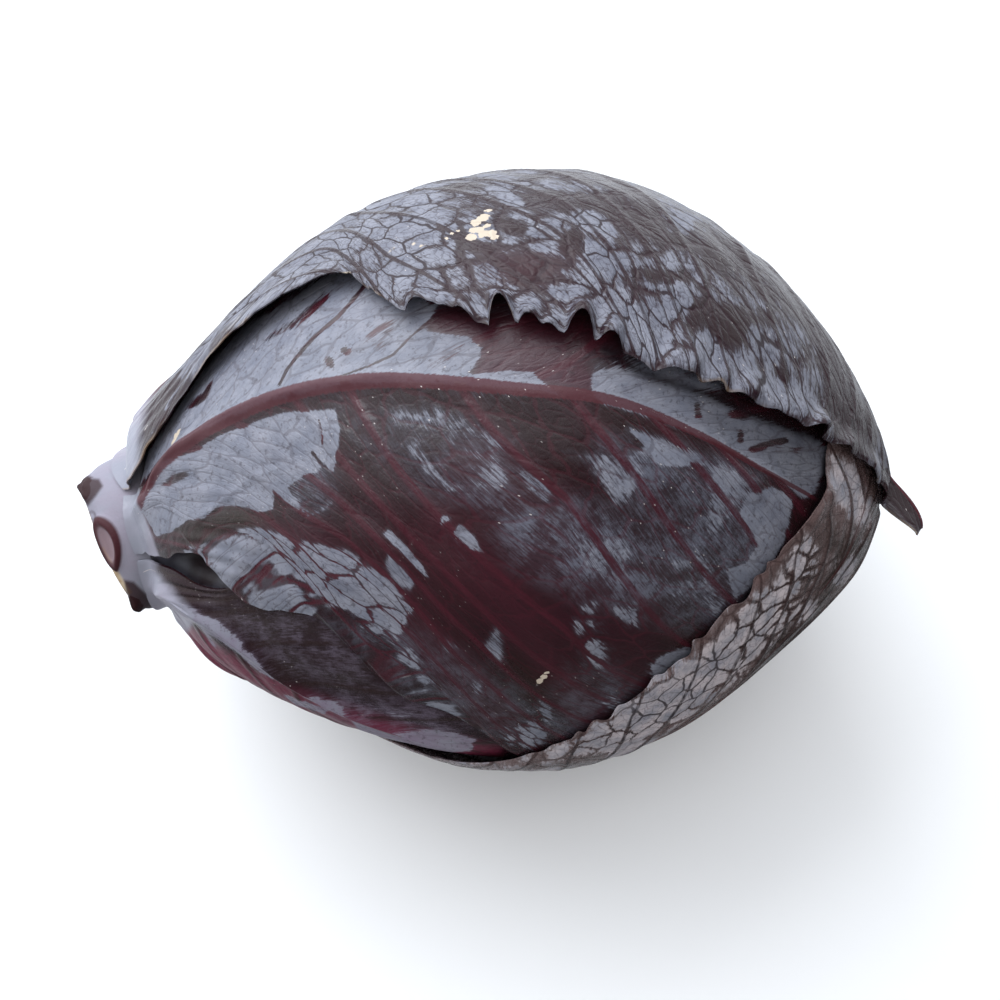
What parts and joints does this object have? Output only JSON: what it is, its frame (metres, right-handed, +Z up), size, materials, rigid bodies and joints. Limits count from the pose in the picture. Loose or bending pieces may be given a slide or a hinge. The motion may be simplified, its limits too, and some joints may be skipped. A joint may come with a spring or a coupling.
{
  "type": "red cabbage head",
  "caption": "Head of red cabbage lying on its side, with overlapping wrapper leaves, raised midribs and a cut stalk.",
  "frame": {"origin": "centre of the flat spot on the underside that the head rests on", "axes": "+X along the head's long axis from the cut stalk to the leaf tip, +Z up, +Y to the side away from the front midrib's lower edge"},
  "size_m": [0.211, 0.1526, 0.1515],
  "materials": {
    "stalk": "pale violet-grey stalk skin, matte, with tan cut flesh and dark brown leaf scars",
    "heart": "blue-grey bloom on tight inner leaves, satin",
    "low_leaf": "glossy crimson rib with a pale violet bloom and a dark olive blade",
    "front_leaf": "glossy dark maroon leaf with blue-grey waxy bloom and crimson veins",
    "tip_leaf": "satin brown-violet leaf with a pale bloom and a dark net of veins",
    "back_leaf": "satin blue-grey waxy bloom over dark maroon, with a net of dark veins and a dry tan edge"
  },
  "bodies": {
    "root": {"stalk": "stalk", "heart": "heart", "low_leaf": "low_leaf", "front_leaf": "front_leaf", "tip_leaf": "tip_leaf", "back_leaf": "back_leaf"}
  },
  "joints": []
}
